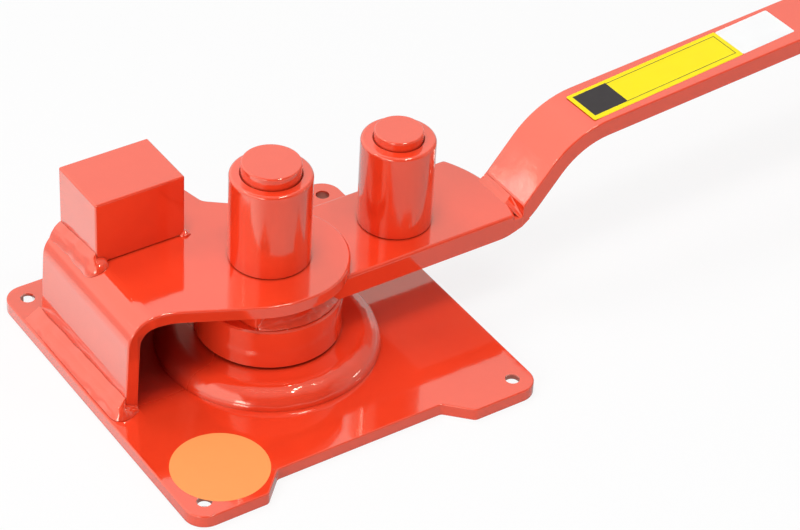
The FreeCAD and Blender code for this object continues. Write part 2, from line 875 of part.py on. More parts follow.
def build_hub_weld(label, start):
    """Makes the weld between the hub's rim and one side of the lever plate."""
    rise = size("hub_weld_height")
    rim = size("hub_diameter") / 2 - size("hub_edge")
    cone = primitive("Part::Cone", f"{label}_cone", Radius1=rim, Radius2=rim - rise, Height=rise)
    bind_place(cone, z=lever_bottom)
    box = primitive("Part::Box", f"{label}_side", Length=rim * 2, Width=rim, Height=rise)
    bind_place(box, -rim, start, lever_bottom)
    weld = doc.addObject("Part::Common", label)
    weld.Base = cone
    weld.Tool = box
    return weld


def build_bar_weld(label, profile, length, pieces):
    """Makes a weld across the bar's square end from its side profile."""
    body = new_body(f"{label}_prism")
    sketch = new_sketch(body, f"{label}_profile", "XZ_Plane", -lever_near - size("bar_width"))
    draw_outline(sketch, profile)
    pad(body, sketch, length)
    return trimmed(label, body, pieces)


def build_bar_welds(plate, bar):
    """Makes the welds over and under the joint of the lever plate and the bar."""
    lap = bar_start + size("bar_weld_lap")
    toe = size("lever_plate_reach") - size("bar_weld_toe")
    width = size("bar_width")
    seam = lever_top - size("bar_weld_cap")
    top = build_bar_weld("bar_weld_top", [
        (toe, seam), (lap, seam), (lap, bend_height(bar_inner_bend, lap)), (toe, lever_top),
    ], width - size("bar_weld_pit"), [plate, bar])
    heel = bar_start + size("bar_weld_toe")
    root_low = bend_height(bar_outer_bend, bar_start) - size("bar_weld_bulge")
    bottom = build_bar_weld("bar_weld_root", [
        (toe, bend_height(bar_outer_bend, toe)), (bar_start, root_low),
        (heel, bend_height(bar_outer_bend, heel)), (bar_start, seam), (toe, seam),
    ], width, [plate, bar])
    return [top, bottom]


# The whole bender, from the base up

def build_pieces():
    """Builds every piece and gives them in a list."""
    pin_place = size("bending_pin_reach"), size("lever_plate_shift")
    bracket = build_bracket()
    block = build_stop_block()
    plate = build_lever_plate()
    bar = build_lever_bar()
    return [
        build_base_plate(),
        build_flange(),
        build_centre_shaft(),
        build_ring_weld("shaft_foot_weld", "spigot_diameter"),
        build_washer(),
        bracket,
        build_foot_weld(bracket),
        build_web(),
        build_web_weld(),
        block,
        build_block_bead(block, bracket),
        build_block_blob(block, bracket),
        build_sleeve("former_sleeve", 0, 0, bracket_top),
        build_hub(),
        build_bush(),
        plate,
        build_hub_weld("hub_weld_near", lever_near - (size("hub_diameter") / 2 - size("hub_edge"))),
        build_hub_weld("hub_weld_far", lever_far),
        build_bending_pin(),
        build_ring_weld("bending_pin_weld", "bending_pin_spigot", *pin_place, lever_bottom),
        build_sleeve("bending_sleeve", *pin_place, lever_top),
        bar,
        *build_bar_welds(plate, bar),
    ]


pieces = build_pieces()
doc.recompute()
failed = [thing.Label for thing in doc.Objects if {"Invalid", "Error"} & set(thing.State)]
failed += [piece.Label for piece in pieces if piece.Shape.isNull() or not piece.Shape.isValid()]
if failed:
    raise ValueError(f"these failed: {failed}")
os.makedirs("parts", exist_ok=True)
for piece in pieces:
    piece.Shape.exportStep(f"parts/{piece.Label}.step")
print(f"{len(pieces)} pieces written")
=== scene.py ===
"""Dresses the manual rebar bender: finishes, weld beads, stickers, studio and camera.

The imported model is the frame. Lengths are in metres, +Z is up, and the lever's pivot is the origin.
"""

import logging
import math
from dataclasses import dataclass, field
from enum import Enum
from typing import Iterable, Iterator, Sequence, Union

import bmesh
import bpy
from mathutils import Matrix, Vector, noise
from mathutils.bvhtree import BVHTree

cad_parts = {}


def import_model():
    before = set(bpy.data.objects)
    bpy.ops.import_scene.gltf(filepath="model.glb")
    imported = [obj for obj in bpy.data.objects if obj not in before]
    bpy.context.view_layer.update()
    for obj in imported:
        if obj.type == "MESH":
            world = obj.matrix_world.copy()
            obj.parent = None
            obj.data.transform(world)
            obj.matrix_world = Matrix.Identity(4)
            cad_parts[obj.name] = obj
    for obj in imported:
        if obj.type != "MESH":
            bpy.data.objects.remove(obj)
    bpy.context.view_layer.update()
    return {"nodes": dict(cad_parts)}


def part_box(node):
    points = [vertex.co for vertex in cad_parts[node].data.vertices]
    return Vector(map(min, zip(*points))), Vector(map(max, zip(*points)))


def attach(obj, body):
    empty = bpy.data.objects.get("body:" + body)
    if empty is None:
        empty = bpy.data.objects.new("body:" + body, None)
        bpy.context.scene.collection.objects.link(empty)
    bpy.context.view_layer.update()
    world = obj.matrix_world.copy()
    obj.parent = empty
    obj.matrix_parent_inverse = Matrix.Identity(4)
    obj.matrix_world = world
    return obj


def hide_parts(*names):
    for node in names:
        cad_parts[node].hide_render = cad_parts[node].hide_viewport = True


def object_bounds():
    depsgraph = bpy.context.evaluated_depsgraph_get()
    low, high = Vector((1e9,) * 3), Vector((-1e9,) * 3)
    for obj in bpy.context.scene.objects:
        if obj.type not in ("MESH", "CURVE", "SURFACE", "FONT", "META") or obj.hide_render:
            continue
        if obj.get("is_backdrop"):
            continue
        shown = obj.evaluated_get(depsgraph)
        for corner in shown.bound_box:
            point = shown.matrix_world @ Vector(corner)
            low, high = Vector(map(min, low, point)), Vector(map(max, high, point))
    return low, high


logging.basicConfig(level=logging.INFO, format="%(message)s")
LOG = logging.getLogger("rebar_bender")
MM = 0.001
COARSE, FINE = 11 * MM, 3.5 * MM
HOLE_REACH = 0.107
FAR_OFF = 1.0
SAMPLES = 6
WHITE = (1.0, 1.0, 1.0, 1.0)
Span = tuple[float, float]
Box = tuple[float, float, float, float]
Colour = tuple[float, float, float]
Place = tuple[float, float, float]
Operand = Union["Term", float, Sequence[float]]


# Shader graph

class Term:
    """A socket of a shader graph that takes part in plain arithmetic."""

    def __init__(self, graph: "Graph", socket: bpy.types.NodeSocket) -> None:
        """Keeps the graph and the socket."""
        self.graph = graph
        self.socket = socket

    def _maths(self, operation: str, first: Operand, second: Operand) -> "Term":
        """Adds a Math node.

        Args:
            operation: The node's operation.
            first: The first operand.
            second: The second operand.

        Returns:
            The result as a term.
        """
        return self.graph.add("ShaderNodeMath", {"operation": operation}, {0: first, 1: second})

    def __add__(self, other: Operand) -> "Term":
        """Gives self + other."""
        return self._maths("ADD", self, other)

    def __radd__(self, other: Operand) -> "Term":
        """Gives other + self."""
        return self._maths("ADD", other, self)

    def __sub__(self, other: Operand) -> "Term":
        """Gives self - other."""
        return self._maths("SUBTRACT", self, other)

    def __rsub__(self, other: Operand) -> "Term":
        """Gives other - self."""
        return self._maths("SUBTRACT", other, self)

    def __mul__(self, other: Operand) -> "Term":
        """Gives self * other."""
        return self._maths("MULTIPLY", self, other)

    def __rmul__(self, other: Operand) -> "Term":
        """Gives other * self."""
        return self._maths("MULTIPLY", other, self)

    def __pow__(self, other: Operand) -> "Term":
        """Gives self to the power of other."""
        return self._maths("POWER", self, other)


class Graph:
    """The node tree of a material or of the world, filled from scratch."""

    def __init__(self, owner: bpy.types.Material | bpy.types.World) -> None:
        """Empties the owner's node tree.

        Args:
            owner: The material or the world.
        """
        owner.use_nodes = True
        self.owner, self.tree = owner, owner.node_tree
        self.tree.nodes.clear()

    def add(self, kind: str, settings: dict | None = None, sockets: dict | None = None,
            output: int | str = 0) -> Term:
        """Adds one node.

        Args:
            kind: The node's type.
            settings: Its settings, set first; "stops" holds a ramp's positions and brightnesses.
            sockets: Values or terms for its sockets, by name or number.
            output: The output to give back.

        Returns:
            The chosen output as a term.
        """
        node = self.tree.nodes.new(kind)
        for name, value in (settings or {}).items():
            if name == "stops":
                self._set_stops(node.color_ramp, value)
            else:
                setattr(node, name, value)
        for key, value in (sockets or {}).items():
            if isinstance(value, Term):
                self.tree.links.new(value.socket, node.inputs[key])
            else:
                node.inputs[key].default_value = value
        return Term(self, node.outputs[output])

    @staticmethod
    def _set_stops(ramp: bpy.types.ColorRamp, stops: Sequence[Span]) -> None:
        """Sets a ramp's two grey stops, each by its position and brightness."""
        for element, (position, level) in zip(ramp.elements, stops):
            element.position, element.color = position, (level, level, level, 1.0)

    def place(self) -> Term:
        """Gives the place in the object's own space, in metres."""
        return self.add("ShaderNodeTexCoord", output="Object")

    def parts(self, vector: Term, axes: str = "XYZ") -> list[Term]:
        """Gives a vector's parts along the named axes."""
        return [self.add("ShaderNodeSeparateXYZ", None, {0: vector}, axis) for axis in axes]

    def stretched(self, scale: Sequence[float]) -> Term:
        """Gives the place scaled along each axis."""
        sockets = {0: self.place(), 1: scale}
        return self.add("ShaderNodeVectorMath", {"operation": "MULTIPLY"}, sockets)

    def cloud(self, scale: float, detail: float = 2.0, rough: float = 0.5,
              where: Term | None = None) -> Term:
        """Gives soft noise from 0 to 1 at a place, which is the object's own if none is given."""
        return self.add("ShaderNodeTexNoise", {"noise_dimensions": "3D"}, {
            "Vector": where or self.place(), "Scale": scale, "Detail": detail, "Roughness": rough})

    def cells(self, scale: float) -> Term:
        """Gives the distance to the nearest of scattered points."""
        return self.add("ShaderNodeTexVoronoi", {"feature": "F1"}, {
            "Vector": self.place(), "Scale": scale, "Randomness": 1.0}, "Distance")

    def ramp(self, value: Term, *stops: Span) -> Term:
        """Maps a value through two grey stops."""
        return self.add("ShaderNodeValToRGB", {"stops": stops}, {"Fac": value})

    def step(self, value: Term, span: Span) -> Term:
        """Gives 0 where a value is at the span's start and 1 at its end, smoothly between."""
        return self.add("ShaderNodeMapRange", {"clamp": True, "interpolation_type": "SMOOTHSTEP"}, {
            "Value": value, "From Min": span[0], "From Max": span[1]})

    def blend(self, factor: Operand, first: Operand, second: Operand) -> Term:
        """Mixes two colours by a factor."""
        one, two = [part if isinstance(part, Term) else (*part, 1.0) for part in (first, second)]
        return self.add("ShaderNodeMix", {"data_type": "RGBA"}, {0: factor, 6: one, 7: two}, 2)

    def bump(self, height: Term, distance: float, strength: float = 1.0,
             normal: Term | None = None) -> Term:
        """Turns a height from 0 to 1 into a normal.

        Args:
            height: The height.
            distance: What a height of 1 stands for, in metres.
            strength: How much of it counts.
            normal: A normal to start from.

        Returns:
            The bumped normal.
        """
        sockets = {"Height": height, "Distance": distance, "Strength": strength}
        if normal:
            sockets["Normal"] = normal
        return self.add("ShaderNodeBump", None, sockets)

    @staticmethod
    def near_holes(x: Term, y: Term) -> Term:
        """Gives the distance in plan from the nearest of the base plate's four holes."""
        along, across = (x * x) ** 0.5 - HOLE_REACH, (y * y) ** 0.5 - HOLE_REACH
        return (along * along + across * across) ** 0.5

    def crease(self, reach: float) -> Term:
        """Gives 1 in corners narrower than the reach in metres, and 0 where the face lies open."""
        look = ("ShaderNodeAmbientOcclusion", {"samples": SAMPLES}, {"Distance": reach}, "AO")
        return self.ramp(self.add(*look), (0.30, 1.0), (0.72, 0.0))

    def edge_thin_and_sheen(self, radius: float) -> Term:
        """Gives a mask that rises towards sharp edges.

        Args:
            radius: How far from an edge it starts, in metres.

        Returns:
            The mask.
        """
        soft = self.add("ShaderNodeBevel", {"samples": SAMPLES}, {"Radius": radius})
        flat = self.add("ShaderNodeNewGeometry", output="Normal")
        sockets = {0: soft, 1: flat}
        facing = self.add("ShaderNodeVectorMath", {"operation": "DOT_PRODUCT"}, sockets, "Value")
        return self.add("ShaderNodeMapRange", {"clamp": True}, {
            "Value": facing, "From Min": 1.0, "From Max": 0.8, "To Min": 0.0, "To Max": 1.0})

    def surface(self, **sockets: Operand) -> bpy.types.Material:
        """Closes the tree with a Principled shader.

        Args:
            **sockets: Its sockets, with underscores for spaces.

        Returns:
            The material.
        """
        named = {name.replace("_", " "): value for name, value in sockets.items()}
        shader = self.add("ShaderNodeBsdfPrincipled", None, named)
        self.add_output(shader)
        return self.owner

    def add_output(self, shader: Term, kind: str = "ShaderNodeOutputMaterial") -> None:
        """Links a shader to a new output node."""
        node = self.tree.nodes.new(kind)
        self.tree.links.new(shader.socket, node.inputs["Surface"])


# Finishes

@dataclass(frozen=True)
class RecessShade:
    """Where the frame's paint carries painted shade: under the bracket and deep in the plate's holes.

    Args:
        leg: Where it starts in X, at the bracket's leg.
        mouth: Where it ends in X, towards the hub.
        near: Where it starts in Y, at the bracket's near end.
        far: Where it ends in Y, at the bracket's far end.
        roof: Where it ends in Z, at the bracket's underside.
        hole_wall: Where a hole's surroundings end, from the hole's axis.
        hole_depth: Where a hole's shelter starts in Z, below its mouth.
    """

    leg: Span = (-0.1000, -0.0992)
    mouth: Span = (-0.028, -0.058)
    near: Span = (-0.030, -0.004)
    far: Span = (0.088, 0.085)
    roof: Span = (0.0640, 0.0600)
    hole_wall: Span = (0.0050, 0.0048)
    hole_depth: Span = (0.0074, 0.0066)

    def mask(self, graph: Graph) -> Term:
        """Gives 1 where the painted shade goes and 0 elsewhere.

        Args:
            graph: The material's graph.

        Returns:
            The mask.
        """
        x, y, z = graph.parts(graph.place())
        under = graph.step(x, self.leg) * graph.step(x, self.mouth)
        sides = graph.step(y, self.near) * graph.step(y, self.far)
        under = under * (sides * graph.step(z, self.roof))
        holes = graph.step(graph.near_holes(x, y), self.hole_wall) * graph.step(z, self.hole_depth)
        return 1.0 - (1.0 - under) * (1.0 - holes)


@dataclass(frozen=True)
class Enamel:
    """Gloss enamel, sprayed thick: orange peel, sags, dust nibs and a thinner coat on edges,
    lightened as a painted highlight.
    """

    name: str
    tone: Colour = (0.88, 0.054, 0.016)
    deep: Colour = (0.80, 0.038, 0.011)
    # Lighter edge tone: a thinner coat and a painted edge highlight.
    thin_and_sheen_tone: Colour = (0.92, 0.100, 0.040)
    # Painted shade tone under the bracket and deep in the holes.
    recess_shade_tone: Colour = (0.36, 0.010, 0.004)
    # Painted shade tone for corners and creases.
    crease_shade_tone: Colour = (0.20, 0.008, 0.004)
    gleam: Colour = (1.0, 0.92, 0.70)
    gloss: float = 0.05
    peel: float = 0.000012
    waves: float = 0.00022
    ripples: float = 0.00003
    sags: float = 0.0
    lumps: float = 0.0
    coat_rough: float = 0.03
    edge_reach: float = 0.0012
    corner: float = 0.0030
    nib: float = 0.00010
    recess_shade: RecessShade | None = None

    def _colour(self, graph: Graph) -> Term:
        """Gives the coat's colour: drifting depth, a thinner, lighter film on edges as a painted
        highlight, painted shade in corners.

        Args:
            graph: The material's graph.

        Returns:
            The colour.
        """
        drift = graph.ramp(graph.cloud(14.0, 4.0, 0.6), (0.35, 0.0), (0.70, 1.0))
        patchy = graph.ramp(graph.cloud(90.0, 3.0), (0.35, 0.25), (0.65, 1.0))
        # Lighter colour at sharp edges: a thinner coat, and a painted highlight where rounded edges
        # catch light.
        edge = graph.edge_thin_and_sheen(self.edge_reach) * patchy
        coat = graph.blend(edge * 0.7, graph.blend(drift * 0.6, self.tone, self.deep), self.thin_and_sheen_tone)
        # Painted shade: corners and creases darken by an ambient occlusion look.
        return graph.blend(graph.crease(self.corner) * 0.6, coat, self.crease_shade_tone)

    def _normal(self, graph: Graph, dust: Term) -> Term:
        """Gives the coat's relief.

        Args:
            graph: The material's graph.
            dust: Where dust nibs stand.

        Returns:
            The bumped normal.
        """
        normal = graph.bump(graph.cloud(34.0, 1.0), self.waves)
        normal = graph.bump(graph.cloud(150.0, 2.0), self.ripples, normal=normal)
        if self.sags:
            runs = graph.cloud(130.0, 2.0, 0.5, graph.stretched((1.0, 1.0, 0.12)))
            normal = graph.bump(runs, self.sags, normal=normal)
        normal = graph.bump(graph.cloud(430.0, 2.0, 0.65), self.peel, normal=normal)
        if self.lumps:
            normal = graph.bump(graph.cloud(260.0, 3.0, 0.55), self.lumps, normal=normal)
        return graph.bump(dust, self.nib, 0.7, normal)

    def material(self) -> bpy.types.Material:
        """Makes the enamel's material.

        Returns:
            The material.
        """
        graph = Graph(bpy.data.materials.new(self.name))
        dust = graph.ramp(graph.cells(300.0), (0.05, 1.0), (0.10, 0.0))
        dust = dust * graph.ramp(graph.cloud(26.0), (0.56, 0.0), (0.68, 1.0))
        rough = self.gloss + graph.cloud(55.0, 3.0) * 0.06 + dust * 0.15
        colour, coat = self._colour(graph), 1.0
        # Painted shade: under the bracket and deep in the holes the colour turns dark, the coat is
        # dropped and the roughness rises.
        if self.recess_shade:
            bare = self.recess_shade.mask(graph)
            rough, coat = rough + bare * 0.35, 1.0 - bare
            colour = graph.blend(bare, colour, self.recess_shade_tone)
        return graph.surface(Base_Color=colour, Roughness=rough, IOR=1.7, Specular_IOR_Level=1.0,
                             Specular_Tint=(*self.gleam, 1.0), Coat_Weight=coat, Coat_IOR=1.55,
                             Coat_Roughness=self.coat_rough, Normal=self._normal(graph, dust))


@dataclass(frozen=True)
class Film:
    """Printed sticker film with faint waves and dulled spots."""

    name: str
    tone: Colour
    gloss: float = 0.34

    def material(self) -> bpy.types.Material:
        """Makes the film's material.

        Returns:
            The material.
        """
        graph = Graph(bpy.data.materials.new(self.name))
        shade = tuple(0.93 * part for part in self.tone)
        colour = graph.blend(graph.cloud(60.0, 4.0, 0.6), self.tone, shade)
        rough = self.gloss + graph.cloud(150.0, 3.0) * 0.14
        normal = graph.bump(graph.cloud(70.0, 2.0), 0.00010)
        return graph.surface(Base_Color=colour, Roughness=rough, IOR=1.45, Normal=normal)


@dataclass(frozen=True)
class TurnedMetal:
    """Bare metal with fine rings from the lathe about the vertical axis."""

    name: str
    tone: Colour
    gloss: float = 0.3
    stain: float = 0.7

    def material(self) -> bpy.types.Material:
        """Makes the metal's material.

        Returns:
            The material.
        """
        graph = Graph(bpy.data.materials.new(self.name))
        streak = graph.cloud(60.0, 3.0, where=graph.stretched((1.0, 1.0, 60.0)))
        colour = graph.blend(streak, self.tone, tuple(self.stain * part for part in self.tone))
        rough = self.gloss + streak * 0.15
        normal = graph.bump(streak, 0.00004)
        return graph.surface(Base_Color=colour, Metallic=1.0, Roughness=rough, Normal=normal)


class Finish(Enum):
    """The finishes that the pieces take."""

    PAINT = Enamel("gloss_red_enamel")
    # The frame's enamels carry painted shade under the bracket and deep in the holes.
    FRAME = Enamel("enamel_on_frame", recess_shade=RecessShade())
    ROUND = Enamel("enamel_on_sleeves", gloss=0.10, sags=0.00020, coat_rough=0.09)
    WELD = Enamel("enamel_over_weld", gloss=0.08, lumps=0.00005)
    FRAME_WELD = Enamel("enamel_over_frame_weld", gloss=0.08, lumps=0.00005, recess_shade=RecessShade())
    ORANGE = Film("orange_film", (0.98, 0.34, 0.10))
    YELLOW = Film("yellow_film", (0.93, 0.76, 0.004))
    CHARCOAL = Film("charcoal_print", (0.030, 0.025, 0.026), 0.42)
    WHITE = Film("white_film", (0.88, 0.88, 0.88))
    STEEL = TurnedMetal("ground_steel", (0.55, 0.55, 0.57))
    BRONZE = TurnedMetal("turned_bronze", (0.62, 0.42, 0.20))
    BORE = TurnedMetal("drilled_steel", (0.98, 0.98, 0.98), 0.05, 0.96)


class Palette:
    """Makes each finish's material once and hands it out."""

    def __init__(self) -> None:
        """Starts with nothing made."""
        self._made: dict[Finish, bpy.types.Material] = {}

    def material(self, finish: Finish) -> bpy.types.Material:
        """Gives the finish's material.

        Args:
            finish: The finish.

        Returns:
            The material.
        """
        if finish not in self._made:
            self._made[finish] = finish.value.material()
        return self._made[finish]

    def dress(self, piece: bpy.types.Object, finish: Finish) -> None:
        """Puts a finish on every material slot of a piece.

        Args:
            piece: The piece.
            finish: The finish.
        """
        if not piece.material_slots:
            piece.data.materials.append(self.material(finish))
        for slot in piece.material_slots:
            slot.material = self.material(finish)


# Camera and studio

@dataclass
class PhotoCamera:
    """The camera of the photograph: a long lens that looks down from the front left."""

    place: Place = (-0.725778, -1.151104, 1.122221)
    right: Place = (0.833608, -0.550378, 0.046713)
    down: Place = (-0.306982, -0.531939, -0.789179)
    width: int = 800
    focal_pixels: float = 2891.169
    sensor: float = 36.0
    clip: Span = (0.05, 60.0)

    def build(self) -> None:
        """Makes the camera."""
        data = bpy.data.cameras.new("photo_camera")
        data.sensor_fit = "HORIZONTAL"
        data.sensor_width = self.sensor
        data.lens = self.focal_pixels / self.width * self.sensor
        data.clip_start, data.clip_end = self.clip
        camera = bpy.data.objects.new("photo_camera", data)
        right = Vector(self.right).normalized()
        up = -Vector(self.down).normalized()
        turn = Matrix((right, up, right.cross(up))).transposed()
        camera.matrix_world = Matrix.Translation(self.place) @ turn.to_4x4()
        bpy.context.scene.collection.objects.link(camera)
        bpy.context.scene.camera = camera


@dataclass
class Lamp:
    """A square soft box that points at the bender."""

    name: str
    place: Place
    side: float
    watts: float
    mirrored: bool = False
    aim: Place = (0.05, 0.0, 0.06)

    def build(self) -> None:
        """Makes the lamp."""
        data = bpy.data.lights.new(self.name, "AREA")
        data.shape = "SQUARE"
        data.size = self.side
        data.energy = self.watts
        lamp = bpy.data.objects.new(self.name, data)
        lamp.location = self.place
        lamp.visible_glossy = self.mirrored
        way = Vector(self.aim) - Vector(self.place)
        lamp.rotation_euler = way.to_track_quat("-Z", "Y").to_euler()
        bpy.context.scene.collection.objects.link(lamp)


@dataclass
class Studio:
    """A pale floor in a dim room, with a white sweep behind the bender and soft boxes round it.

    The spans say where a change of brightness starts and ends. Those of the floor are places in
    metres, and those of the room are parts of the direction.
    """

    floor_side: float = 14.0
    floor_tone: float = 0.80
    floor_drop: float = 0.0002
    glow: float = 0.84
    front_glow: float = 0.38
    back_glow: float = 0.60
    left_glow: float = 1.0
    far_glow: float = 0.62
    left_x: Span = (-0.09, -0.15)
    left_y: Span = (-0.18, 0.0)
    back_y: Span = (-0.10, 0.10)
    far_ring: Span = (0.25, 0.36)
    hole_glow_ring: Span = (0.012, 0.010)
    ambient: float = 0.30
    room: float = 0.08
    sweep: float = 0.92
    side: float = 0.28
    behind: Span = (0.25, 0.42)
    left: Span = (0.50, 0.68)
    left_way: Span = (0.985, 0.17)
    dim: float = 0.28
    dim_x: Span = (-0.05, 0.60)
    horizon: float = 0.38
    horizon_z: Span = (0.0, 0.16)
    right: Span = (0.40, 0.80)
    above: Span = (0.60, 0.90)
    lamps: list[Lamp] = field(default_factory=lambda: [
        Lamp("left_box", (-2.60, -0.90, 1.25), 2.2, 41.0),
        Lamp("front_box", (-0.40, -0.55, 3.40), 1.2, 49.0),
        Lamp("right_box", (2.20, -2.20, 1.60), 1.5, 19.0),
        Lamp("top_box", (-0.40, 1.80, 3.60), 1.6, 42.0),
        Lamp("front_spark", (0.26, -1.50, 3.26), 0.30, 9.0, True),
        Lamp("top_spark", (0.80, -0.80, 3.40), 0.30, 9.0, True),
        Lamp("left_spark", (-2.70, -1.92, 0.65), 0.8, 7.0, True),
        Lamp("right_spark", (2.95, -1.70, 0.75), 0.12, 0.48, True),
        Lamp("edge_spark", (-2.33, 0.78, 2.37), 0.3, 3.0, True),
        Lamp("bar_spark", (-2.14, 2.165, 1.42), 0.06, 0.030, True),
    ])

    @staticmethod
    def _ray(graph: Graph, *kinds: str) -> Term:
        """Gives 1 for rays of the named kinds, and 0 for the others."""
        found = [graph.add("ShaderNodeLightPath", output=f"Is {kind} Ray") for kind in kinds]
        return graph.ramp(sum(found, 0.0), (0.0, 0.0), (1.0, 1.0))

    def _floor_level(self, graph: Graph) -> Term:
        """Gives how bright the floor looks in a reflection: brightest close by on the left and, as a
        painted reflection, under the holes.

        Args:
            graph: The floor's graph.

        Returns:
            The brightness.
        """
        x, y = graph.parts(graph.place(), "XY")
        left = graph.step(x, self.left_x) * graph.step(y, self.left_y)
        level = self.front_glow + (self.back_glow - self.front_glow) * graph.step(y, self.back_y)
        level = level + (self.left_glow - level) * left
        far = graph.step((x * x + y * y) ** 0.5, self.far_ring)
        level = level * (1.0 - (1.0 - self.far_glow) * (far * left))
        # Painted reflection: under the plate's holes the floor glows at full brightness in
        # reflections, so the bores mirror white.
        under = graph.step(graph.near_holes(x, y), self.hole_glow_ring)
        return level + (1.0 - level) * under

    def _floor(self) -> None:
        """Makes the floor."""
        graph = Graph(bpy.data.materials.new("studio_floor"))
        tone = (self.floor_tone, self.floor_tone, self.floor_tone, 1.0)
        eye = self._ray(graph, "Camera", "Transmission")
        gloss = self._ray(graph, "Glossy")
        level = eye + gloss * self._floor_level(graph)
        paint = graph.add("ShaderNodeBsdfDiffuse", None, {"Color": tone})
        light = graph.add("ShaderNodeEmission", None, {"Color": WHITE, "Strength": level})
        share = eye * self.glow + gloss
        both = graph.add("ShaderNodeMixShader", None, {0: share, 1: paint, 2: light})
        graph.add_output(both)
        mesh = bpy.data.meshes.new("studio_floor")
        half = self.floor_side / 2
        corners = [(-half, -half, 0), (half, -half, 0), (half, half, 0), (-half, half, 0)]
        mesh.from_pydata(corners, [], [(0, 1, 2, 3)])
        mesh.materials.append(graph.owner)
        floor = bpy.data.objects.new("studio_floor", mesh)
        bpy.context.scene.collection.objects.link(floor)
        floor.location.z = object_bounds()[0][2] - self.floor_drop
        floor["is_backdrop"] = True

    def _sweep_level(self, graph: Graph) -> Term:
        """Gives how bright the room looks: a white sweep behind and on the left, a dim front.

        Args:
            graph: The world's graph.

        Returns:
            The brightness.
        """
        x, y, z = graph.parts(graph.add("ShaderNodeTexCoord", output="Generated"))
        left = graph.step(self.left_way[1] * y - self.left_way[0] * x, self.left)
        white = 1.0 - (1.0 - graph.step(y, self.behind)) * (1.0 - left)
        fall = 1.0 - self.dim * graph.step(x, self.dim_x)
        low = (1.0 - self.horizon) + self.horizon * graph.step(z, self.horizon_z)
        beside = self.side * graph.step(x, self.right) + self.side * graph.step(z, self.above)
        return self.room + self.sweep * (white * (fall * low)) + (1.0 - white) * beside

    def _world(self) -> None:
        """Makes the surroundings: white to the eye, even for soft light, a room for reflections."""
        world = bpy.data.worlds.new("studio_room")
        bpy.context.scene.world = world
        graph = Graph(world)
        eye = self._ray(graph, "Camera", "Transmission")
        gloss = self._ray(graph, "Glossy")
        level = self._sweep_level(graph)
        strength = eye + (1.0 - eye) * level * (gloss + self.ambient * (1.0 - gloss))
        shade = graph.add("ShaderNodeBackground", None, {"Color": WHITE, "Strength": strength})
        graph.add_output(shade, "ShaderNodeOutputWorld")

    def build(self) -> None:
        """Makes the floor, the surroundings and the lamps."""
        self._floor()
        self._world()
        for lamp in self.lamps:
            lamp.build()
        bpy.context.scene.view_settings.view_transform = "Standard"


# Mesh building

class Shell:
    """A closed mesh of quads that runs through rings of points."""

    def __init__(self, name: str) -> None:
        """Starts an empty shell."""
        self.name = name
        self.rings: list[list[Vector]] = []

    def add(self, ring: Iterable[Vector]) -> None:
        """Adds one ring of points."""
        self.rings.append(list(ring))

    def piece(self, closed: bool = False, sharp: float = 50.0, soft: int = 0) -> bpy.types.Object:
        """Builds the shell as an object.

        Args:
            closed: Whether the last ring joins the first, instead of both being capped.
            sharp: Edges that turn by more degrees than this stay sharp.
            soft: How many times the mesh is smoothed.

        Returns:
            The object.
        """
        bm = bmesh.new()
        loops = [[bm.verts.new(point) for point in ring] for ring in self.rings]
        count = len(loops[0])
        for first, second in zip(loops, loops[1:] + (loops[:1] if closed else [])):
            for spot in range(count):
                after = (spot + 1) % count
                bm.faces.new((first[spot], first[after], second[after], second[spot]))
        if not closed:
            bm.faces.new(loops[0])
            bm.faces.new(loops[-1])
        for _ in range(soft):
            bmesh.ops.smooth_vert(bm, verts=bm.verts, factor=0.5, use_axis_x=True, use_axis_y=True,
                                  use_axis_z=True)
        return finished(self.name, bm, sharp)


def finished(name: str, bm: bmesh.types.BMesh, sharp: float = 50.0) -> bpy.types.Object:
    """Turns a bmesh into a smooth object in the scene.

    Args:
        name: The object's name.
        bm: The mesh; it is freed.
        sharp: Edges that turn by more degrees than this stay sharp.

    Returns:
        The object.
    """
    bmesh.ops.remove_doubles(bm, verts=bm.verts, dist=1e-7)
    bmesh.ops.recalc_face_normals(bm, faces=bm.faces)
    mesh = bpy.data.meshes.new(name)
    bm.to_mesh(mesh)
    bm.free()
    mesh.shade_smooth()
    mesh.set_sharp_from_angle(angle=math.radians(sharp))
    piece = bpy.data.objects.new(name, mesh)
    bpy.context.scene.collection.objects.link(piece)
    return piece


def mixed(first: float, second: float, share: float) -> float:
    """Gives the number that lies a share of the way from first to second."""
    return first + (second - first) * share


def eased(share: float) -> float:
    """Gives a share from 0 to 1 with a soft start and a soft stop."""
    share = min(max(share, 0.0), 1.0)
    return share * share * (3.0 - 2.0 * share)


def lump(place: Vector, wide: float, seed: float) -> float:
    """Gives smooth noise from -1 to 1 at a place, with swellings of about the given width."""
    return noise.noise(place / wide + Vector((seed, -seed, 0.5 * seed)))


def steps(count: int) -> list[float]:
    """Gives evenly spaced shares from 0 to 1, both included."""
    return [number / (count - 1) for number in range(count)]


class Ground:
    """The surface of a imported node, for laying things on it."""

    def __init__(self, node: bpy.types.Object) -> None:
        """Indexes the node's mesh."""
        self.tree = BVHTree.FromObject(node, bpy.context.evaluated_depsgraph_get())

    def above(self, x: float, y: float) -> Vector | None:
        """Gives the lowest point of the node at a place in plan, or None beside it."""
        return self.tree.ray_cast(Vector((x, y, -FAR_OFF)), Vector((0, 0, 1)))[0]

    def below(self, x: float, y: float) -> Vector:
        """Gives the highest point of the node at a place in plan that lies over it."""
        return self.tree.ray_cast(Vector((x, y, FAR_OFF)), Vector((0, 0, -1)))[0]


# Weld beads

@dataclass(frozen=True)
class Wave:
    """A smooth irregularity of a bead."""

    height: float
    width: float

    def at(self, place: Place, seed: float) -> float:
        """Gives its height at a place."""
        return self.height * lump(Vector(place), self.width, seed)


@dataclass
class Toe:
    """One station of a bead: its two toes, the hidden corner behind it, and its strength there."""

    inner: Vector
    outer: Vector
    corner: Vector
    strength: float = 1.0


